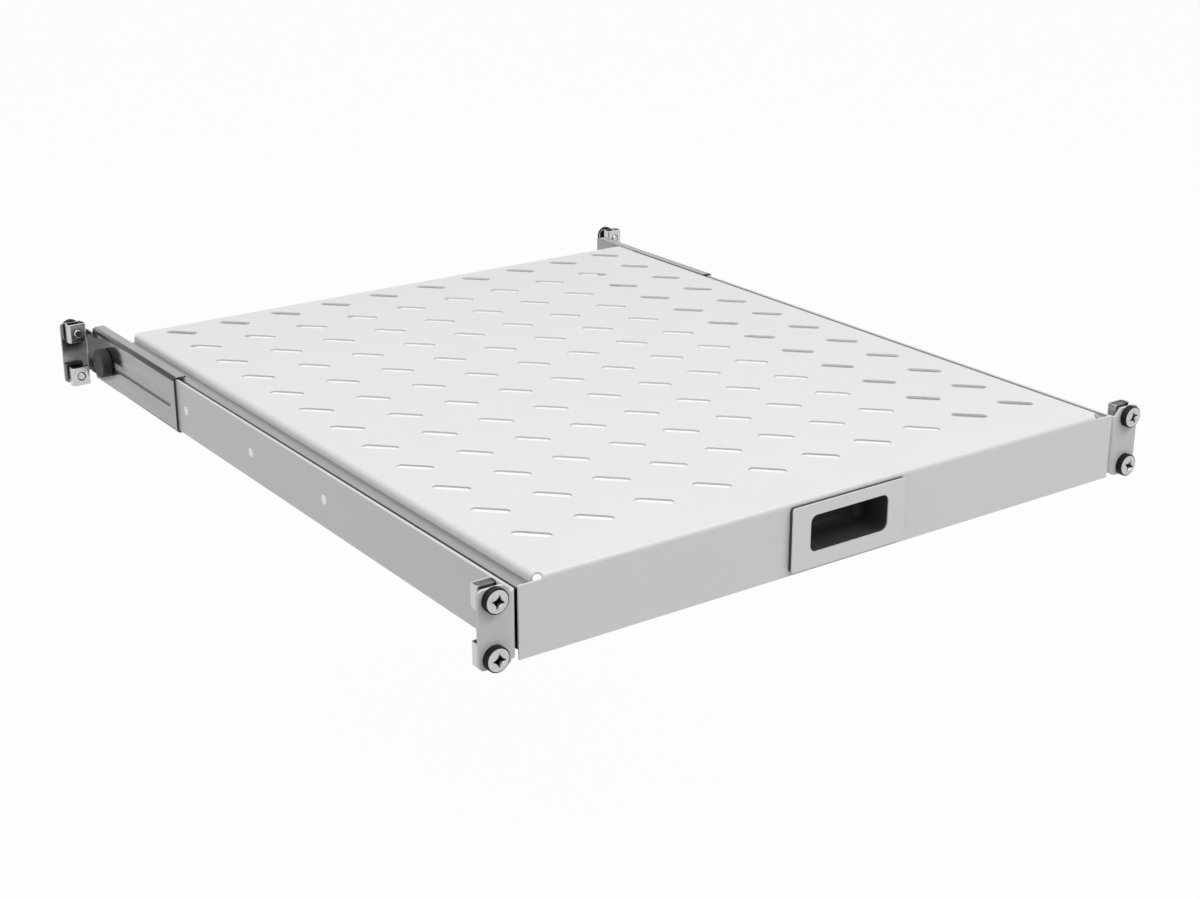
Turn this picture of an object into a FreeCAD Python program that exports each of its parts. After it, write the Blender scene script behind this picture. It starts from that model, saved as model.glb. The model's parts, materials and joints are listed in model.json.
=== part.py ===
import FreeCAD, Part
import math
import os
import Sketcher

# Sliding rack shelf: a slotted tray on ball-bearing slides, between two side rails that bolt to a
# 19-inch rack's posts. Each rail's rear bracket slides along the rail and is clamped by a hand knob.
# Frame: +X to the right seen from the front, +Y from the front posts to the rear posts, +Z up.
# Origin: centre of the four front screws, on the face of the front posts. Lengths in millimetres.

DRIVING = {
    # Rack standard: screw holes, panel width and the height of a one-unit panel
    "hole_span": 465.1,
    "hole_pitch": 31.75,
    "panel_width": 482.6,
    "ear_height": 43.6,
    "ear_hole": 3.6,
    "ear_corner": 3.0,
    "ear_root_corner": 2.0,
    # Side rails, folded from sheet, with the front ears bent outwards
    "rail_sheet": 2.0,
    "rail_inner": 219.0,
    "rail_top": 17.4,
    "rail_bottom": -17.4,
    "rail_rear": 528.0,
    "rail_bend_bottom": -19.6,
    "rail_bend_depth": 12.0,
    "bend_inside": 1.0,
    "ear_root": 1.5,
    "ear_slope": 3.5,
    "rivet_first": 197.4,
    "rivet_pitch": 94.8,
    "rivet_head": 3.4,
    "rivet_shank": 1.6,
    "rivet_sunk": 0.0,
    # Tray, one folded and slotted sheet
    "tray_top": 22.1,
    "tray_sheet": 1.2,
    "tray_half": 208.3,
    "tray_bend": 3.2,
    "tray_rear": 501.0,
    "flange_bottom": -15.6,
    "flange_front": 1.2,
    "rear_lip_bottom": 4.0,
    "lip_half": 217.8,
    "lip_front": -2.0,
    "lip_bottom": -21.8,
    "relief": 2.0,
    "relief_y": -1.0,
    "slot_length": 22.0,
    "slot_width": 6.2,
    "slot_pitch_x": 40.0,
    "slot_pitch_y": 39.9,
    "slot_first_y": 43.0,
    "tray_rivet_first": 60.0,
    "tray_rivet_pitch": 190.0,
    "tray_rivet_height": 1.0,
    # Pull cup and its face plate in the tray's front lip
    "pull_width": 83.4,
    "pull_height": 38.0,
    "pull_corner": 1.6,
    "pull_rim": 2.2,
    "pull_face": 0.8,
    "pull_z": -0.1,
    "grip_width": 57.6,
    "grip_height": 22.0,
    "grip_corner": 4.5,
    "grip_z": 1.0,
    "grip_depth": 24.0,
    "cup_wall": 1.6,
    "cup_play": 0.2,
    "cup_hook": 1.4,
    "cup_hook_run": 6.0,
    "cup_hook_height": 9.0,
    # Telescopic ball-bearing slides
    "slide_z": 0.0,
    "slide_height": 34.0,
    "slide_depth": 10.7,
    "slide_sheet": 1.0,
    "slide_front": 0.6,
    "slide_length": 495.0,
    "slide_corner": 1.4,
    "outer_flange": 9.7,
    "mid_web": 2.1,
    "mid_flange": 9.2,
    "inner_flange": 6.5,
    "ball": 1.5,
    "race_play": 0.05,
    "race_depth": 0.4,
    "outer_row": 5.4,
    "inner_row": 6.8,
    "cage_sheet": 0.4,
    "cage_front": 140.0,
    "cage_length": 220.0,
    "outer_cage_web": 1.4,
    "outer_cage_edge": 7.6,
    "inner_cage_web": 3.5,
    "inner_cage_edge": 9.0,
    "ball_pitch": 96.0,
    "ball_margin": 14.0,
    "ball_window": 3.3,
    # Rear brackets, zinc-plated channels that wrap the rails
    "bracket_sheet": 1.5,
    "bracket_play": 0.35,
    "bracket_edge": 214.0,
    "bracket_front": 400.0,
    "bracket_flange_rear": 538.5,
    "bracket_neck_top": 15.0,
    "bracket_neck_bottom": -15.0,
    "post_depth": 550.5,
    "channel_inside": 0.4,
    "channel_outside": 3.0,
    "adjust_front": 407.3,
    "adjust_rear": 521.0,
    "adjust_width": 6.0,
    # Clamping knobs on studs in the rails
    "knob_y": 513.9,
    "knob_radius": 10.1,
    "knob_height": 7.0,
    "knob_edge": 0.8,
    "knob_gap": 0.3,
    "knob_bore_depth": 5.5,
    "stud": 2.5,
    "stud_head": 4.5,
    "stud_head_height": 1.2,
    "stud_play": 0.05,
    # Rack screws, cup washers and cage nuts
    "screw": 3.0,
    "screw_neck": 3.2,
    "screw_thread": 2.7,
    "screw_end": 10.2,
    "screw_step": 0.05,
    "head": 6.5,
    "head_rim": 4.14,
    "head_crown": 1.3,
    "head_edge": 0.1,
    "washer": 7.25,
    "washer_height": 3.9,
    "washer_bore": 3.4,
    "washer_cup": 2.95,
    "nut_gap": 2.7,
    "nut_half": 5.5,
    "nut_front": 4.3,
    "nut_bore": 3.0,
    "cage_half": 6.5,
    "cage_depth": 6.8,
    "cage_wall": 0.8,
    "cage_lip": 1.5,
    "cage_window": 3.2,
}

COLUMNS = 10
ROWS = 12
RAIL_RIVETS = 3
TRAY_RIVETS = 3
BALLS_IN_ROW = 3
# Flats round the axis of small round fastenings: those in sight, those hidden, and thin shanks
FLATS = 12
HIDDEN_FLATS = 8
SHANK_FLATS = 6
KNOB_FLATS = 24
SIDES = {"left": -1, "right": 1}

doc = FreeCAD.newDocument("SlidingRackShelf")
sheet = doc.addObject("Spreadsheet::Sheet", "Dims")
for row, (alias, number) in enumerate(DRIVING.items(), start=1):
    sheet.set(f"A{row}", alias)
    sheet.set(f"B{row}", str(number))
    sheet.setAlias(f"B{row}", alias)
doc.recompute()


class Dim:
    """A length that keeps its sheet expression beside its present value."""

    def __init__(self, text, number):
        self.text = text
        self.number = number

    def __add__(self, other):
        other = dim(other)
        return Dim(f"({self.text} + {other.text})", self.number + other.number)

    def __sub__(self, other):
        other = dim(other)
        return Dim(f"({self.text} - {other.text})", self.number - other.number)

    def __mul__(self, factor):
        return Dim(f"({self.text} * {factor!r})", self.number * factor)

    def __neg__(self):
        return self * -1


def dim(value):
    """The Dim of a sheet alias, a plain number or a Dim."""
    if isinstance(value, Dim):
        return value
    if isinstance(value, str):
        return Dim(f"Dims.{value}", float(sheet.get(value)))
    return Dim(repr(float(value)), float(value))


ZERO = dim(0)
RAIL_OUTER = dim("rail_inner") + "rail_sheet"
EAR_OUTER = dim("panel_width") * 0.5
EAR_HALF = dim("ear_height") * 0.5
SCREW_X = dim("hole_span") * 0.5
SCREW_Z = dim("hole_pitch") * 0.5
LIP_BACK = dim("lip_front") + "tray_sheet"
FLANGE_IN = dim("tray_half") - "tray_sheet"
SLIDE_HALF = dim("slide_height") * 0.5
SLIDE_REAR = dim("slide_front") + "slide_length"
# Heights of the slide's nested faces above its middle line, from the outside in
OUTER_INSIDE = SLIDE_HALF - "slide_sheet"
RACE_STEP = dim("ball") - "race_depth" + "race_play"
OUTER_BALL = OUTER_INSIDE - RACE_STEP
MID_OUTSIDE = OUTER_BALL - RACE_STEP
MID_INSIDE = MID_OUTSIDE - "slide_sheet"
INNER_BALL = MID_INSIDE - RACE_STEP
INNER_OUTSIDE = INNER_BALL - RACE_STEP
BRACKET_INNER = RAIL_OUTER + "bracket_play"
BRACKET_OUTER = BRACKET_INNER + "bracket_sheet"
BRACKET_TOP = dim("rail_top") + "bracket_play" + "bracket_sheet"
BRACKET_BOTTOM = dim("rail_bottom") - "bracket_play" - "bracket_sheet"
BRACKET_BACK = dim("post_depth") + "bracket_sheet"
KNOB_SEAT = BRACKET_OUTER + "knob_gap"

nodes = []

# Sketch plane of each axis, and the way that plane's normal points along the axis
PLANES = {"x": ("YZ_Plane", 1), "y": ("XZ_Plane", -1), "z": ("XY_Plane", 1)}


def new_body(label, keep=True):
    """A body with its label; kept bodies are written out as nodes."""
    body = doc.addObject("PartDesign::Body", label)
    body.Label = label
    if keep:
        nodes.append(body)
    return body


def hold(sketch, kind, members, length):
    """A dimension constraint that follows the sheet."""
    index = sketch.addConstraint(Sketcher.Constraint(kind, *members, length.number))
    sketch.setExpression(f"Constraints[{index}]", length.text)


def locate(sketch, geometry, point, x, y):
    """Hold one point of a sketch at its two distances from the origin."""
    hold(sketch, "DistanceX", (-1, 1, geometry, point), x)
    hold(sketch, "DistanceY", (-1, 1, geometry, point), y)


def unit(start, end):
    """The direction from one point to another."""
    return (end - start).normalize()


def outline(sketch, corners):
    """A closed outline; a corner is (x, y), or (x, y, radius) where an arc rounds it."""
    spots = [tuple(dim(value) for value in corner) for corner in corners]
    points = [FreeCAD.Vector(spot[0].number, spot[1].number) for spot in spots]
    count = len(spots)
    starts = list(points)
    ends = list(points)
    arcs = {}
    for i, spot in enumerate(spots):
        if len(spot) == 2:
            continue
        coming = unit(points[i - 1], points[i])
        going = unit(points[i], points[(i + 1) % count])
        turn = math.atan2(coming.cross(going).z, coming.dot(going))
        side = math.copysign(1, turn)
        reach = spot[2].number * math.tan(abs(turn) / 2)
        ends[i] = points[i] - coming * reach
        starts[i] = points[i] + going * reach
        centre = ends[i] + FreeCAD.Vector(-coming.y, coming.x) * spot[2].number * side
        arcs[i] = (centre, side)
    lines = []
    for i in range(count):
        segment = Part.LineSegment(starts[i], ends[(i + 1) % count])
        lines.append(sketch.addGeometry(segment, False))
    for i, spot in enumerate(spots):
        before = lines[i - 1]
        after = lines[i]
        if i not in arcs:
            sketch.addConstraint(Sketcher.Constraint("Coincident", before, 2, after, 1))
            locate(sketch, after, 1, *spot)
            continue
        centre, side = arcs[i]
        first, last = (ends[i], starts[i]) if side > 0 else (starts[i], ends[i])
        angles = [math.atan2(p.y - centre.y, p.x - centre.x) for p in (first, last)]
        round_end = Part.Circle(centre, FreeCAD.Vector(0, 0, 1), spot[2].number)
        arc = sketch.addGeometry(Part.ArcOfCircle(round_end, *angles), False)
        corner = sketch.addGeometry(Part.Point(points[i]), True)
        locate(sketch, corner, 1, *spot[:2])
        sketch.addConstraint(Sketcher.Constraint("PointOnObject", corner, 1, before))
        sketch.addConstraint(Sketcher.Constraint("PointOnObject", corner, 1, after))
        entry, leave = (1, 2) if side > 0 else (2, 1)
        sketch.addConstraint(Sketcher.Constraint("Tangent", before, 2, arc, entry))
        sketch.addConstraint(Sketcher.Constraint("Tangent", arc, leave, after, 1))
        hold(sketch, "Radius", (arc,), spot[2])


def circle(sketch, x, y, radius):
    """A circle held by its centre and radius."""
    x, y, radius = dim(x), dim(y), dim(radius)
    normal = FreeCAD.Vector(0, 0, 1)
    drawn = Part.Circle(FreeCAD.Vector(x.number, y.number), normal, radius.number)
    index = sketch.addGeometry(drawn, False)
    locate(sketch, index, 3, x, y)
    hold(sketch, "Radius", (index,), radius)


def rectangle(left, right, bottom, top, radius=None):
    """The four corners of a rectangle, rounded where a radius is given."""
    spots = [(left, bottom), (right, bottom), (right, top), (left, top)]
    return spots if radius is None else [spot + (radius,) for spot in spots]


def flat_depth(sides):
    """How far a flat lies from the axis, as a share of its corners' distance."""
    return math.cos(math.pi / sides)


def ring(radius, x=0, y=0, sides=FLATS):
    """The corners of a regular ring of flats about a point."""
    angles = [2 * math.pi * (i + 0.5) / sides for i in range(sides)]
    x, y, radius = dim(x), dim(y), dim(radius)
    return [(x + radius * math.cos(a), y + radius * math.sin(a)) for a in angles]


def stud_bore(x=0, y=0):
    """A ring of flats that clears the knob's stud by its play at every angle."""
    return ring((dim("stud") + "stud_play") * (1 / flat_depth(FLATS)), x, y)


def sketch_across(body, axis, at, outlines=(), circles=()):
    """A sketch across an axis of the body, at a place along it, with outlines and circles."""
    role, way = PLANES[axis]
    plane = next(f for f in body.Origin.OriginFeatures if f.Role == role)
    sketch = body.newObject("Sketcher::SketchObject", f"{body.Name}_sketch")
    sketch.AttachmentSupport = [(plane, "")]
    sketch.MapMode = "FlatFace"
    sketch.setExpression("AttachmentOffset.Base.z", (dim(at) * way).text)
    for corners in outlines:
        outline(sketch, corners)
    for spot in circles:
        circle(sketch, *spot)
    return sketch


def pad(body, axis, start, end, outlines=(), circles=()):
    """Solid between two places along an axis, with an outline or a circle across it."""
    sketch = sketch_across(body, axis, start, outlines, circles)
    feature = body.newObject("PartDesign::Pad", f"{body.Name}_pad")
    feature.Profile = sketch
    feature.Reversed = PLANES[axis][1] < 0
    feature.setExpression("Length", (dim(end) - start).text)
    doc.recompute()


def cut(body, axis, start, end, outlines=(), circles=()):
    """Remove outlines or round holes between two places along an axis."""
    before = body.Shape.Volume
    sketch = sketch_across(body, axis, start, outlines, circles)
    feature = body.newObject("PartDesign::Pocket", f"{body.Name}_cut")
    feature.Profile = sketch
    feature.Reversed = PLANES[axis][1] > 0
    feature.setExpression("Length", (dim(end) - start).text)
    doc.recompute()
    if body.Shape.Volume > before - 1e-3:
        raise ValueError(f"a cut in {body.Label} removes nothing")
    return feature


def bevel(body, axis, at, radius, size):
    """Bevel the ring of edges at a place along an axis whose corners lie at a radius from it."""
    line = FreeCAD.Vector(*(float(name == axis) for name in "xyz"))
    centre = line * dim(at).number
    names = []
    for number, edge in enumerate(body.Tip.Shape.Edges, start=1):
        arms = [vertex.Point - centre for vertex in edge.Vertexes]
        misses = [max(abs(arm * line), abs(arm.Length - dim(radius).number)) for arm in arms]
        if max(misses) < 1e-6:
            names.append(f"Edge{number}")
    base = body.Tip
    feature = body.newObject("PartDesign::Chamfer", f"{body.Name}_bevel")
    feature.Base = (base, names)
    feature.setExpression("Size", dim(size).text)
    doc.recompute()


def repeat(body, feature, directions):
    """Repeat a cut along one or two axes; each entry is (axis, how many, spacing)."""
    pattern = body.newObject("PartDesign::LinearPattern", f"{body.Name}_pattern")
    pattern.Originals = [feature]
    for suffix, (axis, count, spacing) in zip(("", "2"), directions):
        line = next(f for f in body.Origin.OriginFeatures if f.Role == f"{axis.upper()}_Axis")
        setattr(pattern, f"Direction{suffix}", (line, [""]))
        setattr(pattern, f"Mode{suffix}", "Spacing")
        setattr(pattern, f"Occurrences{suffix}", count)
        setattr(pattern, f"Spacings{suffix}", [-1.0] * (count - 1))
        pattern.setExpression(f"Offset{suffix}", dim(spacing).text)
    body.Tip = pattern
    doc.recompute()


def half_turn(way):
    """Rotation that carries a right-hand piece to the side it serves."""
    return FreeCAD.Rotation(FreeCAD.Vector(0, 0, 1), 0 if way > 0 else 180)


def group(label, piece, spots):
    """One node of separate, identical solids: a piece copied to each spot (x, y, z, way)."""
    copies = []
    for x, y, z, way in spots:
        base = FreeCAD.Vector(*(dim(value).number for value in (x, y, z)))
        copy = piece.Shape.copy()
        copy.Placement = FreeCAD.Placement(base, half_turn(way)).multiply(copy.Placement)
        copies.append(copy)
    node = doc.addObject("Part::Feature", label)
    node.Label = label
    node.Shape = Part.makeCompound(copies)
    node.Placement = FreeCAD.Placement()
    nodes.append(node)


def mirrored(way, corners):
    """Corners with X counted outwards on either side."""
    return [(dim(corner[0]) * way,) + tuple(corner[1:]) for corner in corners]


def span(way, inner, outer):
    """Start and end along X of a solid between two distances from the middle."""
    return sorted((dim(inner) * way, dim(outer) * way), key=lambda end: end.number)


def ear_screws(way):
    """The two screw positions of one ear, as (x, z)."""
    return [(SCREW_X * way, SCREW_Z * level) for level in (1, -1)]


def ear_holes(way):
    """Clearance holes of one ear."""
    return [ring("ear_hole", x, z, HIDDEN_FLATS) for x, z in ear_screws(way)]


def side_rail(side, way):
    """Rail: a flat web along the rack, with the ear bent outwards at its front."""
    body = new_body(f"side_rail_{side}")
    ear_front = -dim("rail_sheet")
    root = RAIL_OUTER + "ear_root"
    bend = [
        ("rail_inner", "rail_bend_depth"),
        ("rail_inner", ear_front, dim("bend_inside") + "rail_sheet"),
        (root, ear_front),
        (root, ZERO),
        (RAIL_OUTER, ZERO, "bend_inside"),
        (RAIL_OUTER, "rail_bend_depth"),
    ]
    pad(body, "z", "rail_bend_bottom", "rail_top", [mirrored(way, bend)])
    ear = [
        (root, "rail_bend_bottom"),
        (root, -EAR_HALF, "ear_root_corner"),
        (EAR_OUTER, -EAR_HALF, "ear_corner"),
        (EAR_OUTER, EAR_HALF, "ear_corner"),
        (root + "ear_slope", EAR_HALF),
        (root, "rail_top"),
    ]
    pad(body, "y", ear_front, ZERO, [mirrored(way, ear)])
    web = [
        ("rail_bend_depth", "rail_bottom"),
        ("rail_rear", "rail_bottom", "ear_corner"),
        ("rail_rear", "rail_top", "ear_corner"),
        ("rail_bend_depth", "rail_top"),
    ]
    inner, outer = span(way, "rail_inner", RAIL_OUTER)
    pad(body, "x", inner, outer, [web])
    cut(body, "y", ear_front, ZERO, ear_holes(way))
    seats = [ring("rivet_head", y, "slide_z") for y in rail_rivet_places()]
    cut(body, "x", inner, outer, seats + [stud_bore("knob_y", "slide_z")])


def rail_rivet_places():
    """Places along Y of the rivets that hold a slide to its rail."""
    return [dim("rivet_first") + dim("rivet_pitch") * i for i in range(RAIL_RIVETS)]


def tray_rivet_places():
    """Places along Y of the rivets that hold a slide to the tray's flange."""
    return [dim("tray_rivet_first") + dim("tray_rivet_pitch") * i for i in range(TRAY_RIVETS)]


def shank_holes(places):
    """Holes for rivet shanks in a slide or a flange."""
    return [ring("rivet_shank", y, "slide_z", SHANK_FLATS) for y in places]


def rivet(label, shank_end, head_end, head_flats):
    """Rivet along X: a wide head on one side of its seat at zero and a thin shank on the other."""
    piece = new_body(label, keep=False)
    pad(piece, "x", *span(1, ZERO, head_end), [ring("rivet_head", sides=head_flats)])
    pad(piece, "x", *span(1, ZERO, shank_end), [ring("rivet_shank", sides=SHANK_FLATS)])
    return piece


def rivets():
    """Flat rivets in the rails' round seats, and rivets that hold the slides to the tray."""
    through = dim("tray_sheet") + "slide_sheet"
    rail = rivet("rail_rivet", -dim("slide_sheet"), dim("rail_sheet") - "rivet_sunk", FLATS)
    tray = rivet("tray_rivet", through, -dim("tray_rivet_height"), HIDDEN_FLATS)
    rail_spots = []
    tray_spots = []
    for way in SIDES.values():
        rail_spots += [(dim("rail_inner") * way, y, "slide_z", way) for y in rail_rivet_places()]
        tray_spots += [(FLANGE_IN * way, y, "slide_z", way) for y in tray_rivet_places()]
    group("rail_rivets", rail, rail_spots)
    group("tray_rivets", tray, tray_spots)


def slide_x(depth):
    """Distance from the middle of a face that lies deep in the slide, counted from the rail."""
    return dim("rail_inner") - depth


def channel(way, web, deep, edge, outside, inside, corner=()):
    """Outline of a channel with its web on one side and two flanges to a free edge."""
    height = dim("slide_z")
    return mirrored(way, [
        (slide_x(edge), height + outside),
        (slide_x(web), height + outside, *corner),
        (slide_x(web), height - outside, *corner),
        (slide_x(edge), height - outside),
        (slide_x(edge), height - inside),
        (slide_x(deep), height - inside),
        (slide_x(deep), height + inside),
        (slide_x(edge), height + inside),
    ])


def slide_member(label, way, web, deep, edge, outside):
    """One member of a slide, a channel as long as the slide."""
    body = new_body(label)
    outlined = channel(way, web, deep, edge, outside, outside - "slide_sheet", ("slide_corner",))
    pad(body, "y", "slide_front", SLIDE_REAR, [outlined])
    return body


def race(body, way, row, ball_height):
    """Cut the two ball grooves of one row along a slide member."""
    radius = dim("ball") + "race_play"
    x = slide_x(row) * way
    grooves = [(x, dim("slide_z") + ball_height * level, radius) for level in (1, -1)]
    cut(body, "y", "slide_front", SLIDE_REAR, circles=grooves)


def slide_members(side, way):
    """Outer member on the rail, middle member, and inner member on the tray's flange."""
    outer = slide_member(
        f"slide_outer_{side}", way, ZERO, "slide_sheet", "outer_flange", SLIDE_HALF
    )
    race(outer, way, "outer_row", OUTER_BALL)
    web = span(way, slide_x("slide_sheet"), "rail_inner")
    cut(outer, "x", *web, shank_holes(rail_rivet_places()))
    deep = dim("mid_web") + "slide_sheet"
    middle = slide_member(f"slide_middle_{side}", way, "mid_web", deep, "mid_flange", MID_OUTSIDE)
    race(middle, way, "outer_row", OUTER_BALL)
    race(middle, way, "inner_row", INNER_BALL)
    deep = dim("slide_depth") - "slide_sheet"
    edge = dim("slide_depth") - "inner_flange"
    inner = slide_member(f"slide_inner_{side}", way, "slide_depth", deep, edge, INNER_OUTSIDE)
    race(inner, way, "inner_row", INNER_BALL)
    web = span(way, "tray_half", dim("tray_half") + "slide_sheet")
    cut(inner, "x", *web, shank_holes(tray_rivet_places()))


def ball_places():
    """Places along Y of the balls in one row."""
    first = dim("cage_front") + "ball_margin"
    return [first + dim("ball_pitch") * i for i in range(BALLS_IN_ROW)]


def ball_cage(side, way, label, web, edge, row, ball_height):
    """Sheet cage that spaces two rows of balls between two members of a slide."""
    body = new_body(f"{label}_cage_{side}")
    height = dim("slide_z")
    outside = ball_height + dim("cage_sheet") * 0.5
    inside = outside - "cage_sheet"
    outlined = channel(way, web, dim(web) + "cage_sheet", edge, outside, inside)
    pad(body, "y", "cage_front", dim("cage_front") + "cage_length", [outlined])
    half = dim("ball_window") * 0.5
    x = slide_x(row) * way
    y = ball_places()[0]
    window = rectangle(x - half, x + half, y - half, y + half)
    opening = cut(body, "z", height - outside, height + outside, [window])
    repeat(body, opening, [("y", BALLS_IN_ROW, "ball_pitch")])
    spots = []
    for level in (1, -1):
        spots += [(x, spot, height + ball_height * level, way) for spot in ball_places()]
    group(f"{label}_balls_{side}", ball, spots)


def steel_ball():
    """Ball with twelve flats: three blocks, each turned 45 degrees about an axis, in common."""
    across = dim("ball") * (math.sqrt(2) * 0.99)
    along = dim("ball") * 2
    blocks = []
    for number in range(3):
        block = doc.addObject("Part::Box", "ball_block")
        sizes = [along if i == number else across for i in range(3)]
        for name, size in zip(("Length", "Width", "Height"), sizes):
            block.setExpression(name, size.text)
        axis = FreeCAD.Vector(*(float(i == number) for i in range(3)))
        rotation = FreeCAD.Rotation(axis, 45)
        corner = FreeCAD.Vector(*(-size.number / 2 for size in sizes))
        block.Placement = FreeCAD.Placement(rotation.multVec(corner), rotation)
        blocks.append(block)
    trimmed = doc.addObject("Part::MultiCommon", "ball")
    trimmed.Shapes = blocks
    doc.recompute()
    return trimmed


def lip_fold(face, back, flat_end, bottom):
    """Outline across X of a lip folded down from the tray's top sheet."""
    under = dim("tray_top") - "tray_sheet"
    return [
        (flat_end, "tray_top"),
        (face, "tray_top", "tray_bend"),
        (face, bottom),
        (back, bottom),
        (back, under, dim("tray_bend") - "tray_sheet"),
        (flat_end, under),
    ]


def slanted_slot():
    """The front left slot at 45 degrees; each end has two flats in place of its arc."""
    centre_x = dim("slot_pitch_x") * (-(COLUMNS - 1) / 2)
    half = dim("slot_length") * 0.5
    wide = dim("slot_width") * 0.5
    shoulder = half - wide * 0.5
    side = [(half, ZERO), (shoulder, wide), (-shoulder, wide)]
    around = side + [(-run, -rise) for run, rise in side]
    slant = math.sqrt(0.5)
    return [
        (centre_x + (run + rise) * slant, dim("slot_first_y") + (rise - run) * slant)
        for run, rise in around
    ]


def tray_panel():
    """Tray: one sheet with side flanges, rear lip, wide front lip and rows of slanted slots."""
    body = new_body("tray_panel")
    under = dim("tray_top") - "tray_sheet"
    bend_in = dim("tray_bend") - "tray_sheet"
    trough = [
        (-dim("tray_half"), "flange_bottom"),
        (-dim("tray_half"), "tray_top", "tray_bend"),
        ("tray_half", "tray_top", "tray_bend"),
        ("tray_half", "flange_bottom"),
        (FLANGE_IN, "flange_bottom"),
        (FLANGE_IN, under, bend_in),
        (-FLANGE_IN, under, bend_in),
        (-FLANGE_IN, "flange_bottom"),
    ]
    rear_fold_at = dim("tray_rear") - "tray_bend"
    pad(body, "y", "flange_front", rear_fold_at, [trough])
    flat = dim("tray_half") - "tray_bend"
    front_fold = lip_fold("lip_front", LIP_BACK, dim("flange_front") + "tray_bend", "lip_bottom")
    pad(body, "x", -flat, flat, [front_fold])
    lip_top = dim("tray_top") - "tray_bend"
    lip = rectangle(-dim("lip_half"), "lip_half", "lip_bottom", lip_top)
    pad(body, "y", "lip_front", LIP_BACK, [lip])
    rear_in = dim("tray_rear") - "tray_sheet"
    rear_fold = lip_fold("tray_rear", rear_in, rear_fold_at - "tray_bend", "rear_lip_bottom")
    pad(body, "x", -flat, flat, [rear_fold])
    reliefs = [(flat * way, "relief_y", "relief") for way in SIDES.values()]
    cut(body, "z", lip_top, "tray_top", circles=reliefs)
    cut(body, "y", "lip_front", LIP_BACK, [grip_outline(dim("cup_wall") + "cup_play")])
    for way in SIDES.values():
        cut(body, "x", *span(way, FLANGE_IN, "tray_half"), shank_holes(tray_rivet_places()))
    slot = cut(body, "z", under, "tray_top", [slanted_slot()])
    repeat(body, slot, [("x", COLUMNS, "slot_pitch_x"), ("y", ROWS, "slot_pitch_y")])


def grip_outline(margin):
    """The pull's opening, widened all round by a margin."""
    half_x = dim("grip_width") * 0.5 + margin
    half_z = dim("grip_height") * 0.5 + margin
    middle = dim("grip_z")
    corner = dim("grip_corner") + margin
    return rectangle(-half_x, half_x, middle - half_z, middle + half_z, corner)


def pull_outline():
    """Outer edge of the pull's rim and face plate."""
    half_x = dim("pull_width") * 0.5
    half_z = dim("pull_height") * 0.5
    middle = dim("pull_z")
    return rectangle(-half_x, half_x, middle - half_z, middle + half_z, "pull_corner")


def pull_cup():
    """Moulded finger cup: a rim in front of the lip, a deep pocket and snap hooks behind."""
    body = new_body("pull_cup")
    rim_front = dim("lip_front") - "pull_rim"
    bottom = rim_front + "grip_depth"
    pad(body, "y", rim_front, "lip_front", [pull_outline()])
    pad(body, "y", "lip_front", bottom + "cup_wall", [grip_outline("cup_wall")])
    side = dim("grip_width") * 0.5 + "cup_wall"
    root = side - dim("cup_wall") * 0.5
    hook = [
        (root, LIP_BACK),
        (side + "cup_hook", LIP_BACK),
        (side, LIP_BACK + "cup_hook_run"),
        (root, LIP_BACK + "cup_hook_run"),
    ]
    hook_bottom = dim("grip_z") - dim("cup_hook_height") * 0.5
    for way in SIDES.values():
        pad(body, "z", hook_bottom, hook_bottom + "cup_hook_height", [mirrored(way, hook)])
    cut(body, "y", rim_front, bottom, [grip_outline(ZERO)])


def pull_face():
    """Thin face plate on the cup's rim, with the same opening."""
    body = new_body("pull_face")
    back = dim("lip_front") - "pull_rim"
    front = back - "pull_face"
    pad(body, "y", front, back, [pull_outline()])
    cut(body, "y", front, back, [grip_outline(ZERO)])


def rear_bracket(side, way):
    """Channel that wraps the rail's rear, with a long slot and an ear bent outwards."""
    body = new_body(f"rear_bracket_{side}")
    thick = dim("bracket_sheet")
    wrap = [
        ("bracket_edge", BRACKET_TOP),
        (BRACKET_OUTER, BRACKET_TOP, "channel_outside"),
        (BRACKET_OUTER, BRACKET_BOTTOM, "channel_outside"),
        ("bracket_edge", BRACKET_BOTTOM),
        ("bracket_edge", BRACKET_BOTTOM + thick),
        (BRACKET_INNER, BRACKET_BOTTOM + thick, "channel_inside"),
        (BRACKET_INNER, BRACKET_TOP - thick, "channel_inside"),
        ("bracket_edge", BRACKET_TOP - thick),
    ]
    pad(body, "y", "bracket_front", "bracket_flange_rear", [mirrored(way, wrap)])
    root = BRACKET_OUTER + "ear_root"
    neck = [
        (BRACKET_INNER, "bracket_flange_rear"),
        (BRACKET_INNER, BRACKET_BACK, dim("bend_inside") + thick),
        (root, BRACKET_BACK),
        (root, "post_depth"),
        (BRACKET_OUTER, "post_depth", "bend_inside"),
        (BRACKET_OUTER, "bracket_flange_rear"),
    ]
    pad(body, "z", "bracket_neck_bottom", "bracket_neck_top", [mirrored(way, neck)])
    ear = rectangle(root, EAR_OUTER, -EAR_HALF, EAR_HALF, "ear_corner")
    pad(body, "y", "post_depth", BRACKET_BACK, [mirrored(way, ear)])
    cut(body, "y", "post_depth", BRACKET_BACK, ear_holes(way))
    cut(body, "x", *span(way, BRACKET_INNER, BRACKET_OUTER), [adjusting_slot()])


def adjusting_slot():
    """The bracket's long slot; each end has three flats in place of its arc."""
    half = dim("adjust_width") * 0.5
    front, rear, middle = dim("adjust_front"), dim("adjust_rear"), dim("slide_z")
    clip = half * (2 - math.sqrt(2))
    corners = []
    for end, way in ((rear, 1), (front, -1)):
        corners += [(end - clip * way, middle - half * way), (end, middle - (half - clip) * way)]
        corners += [(end, middle + (half - clip) * way), (end - clip * way, middle + half * way)]
    return corners


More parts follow.
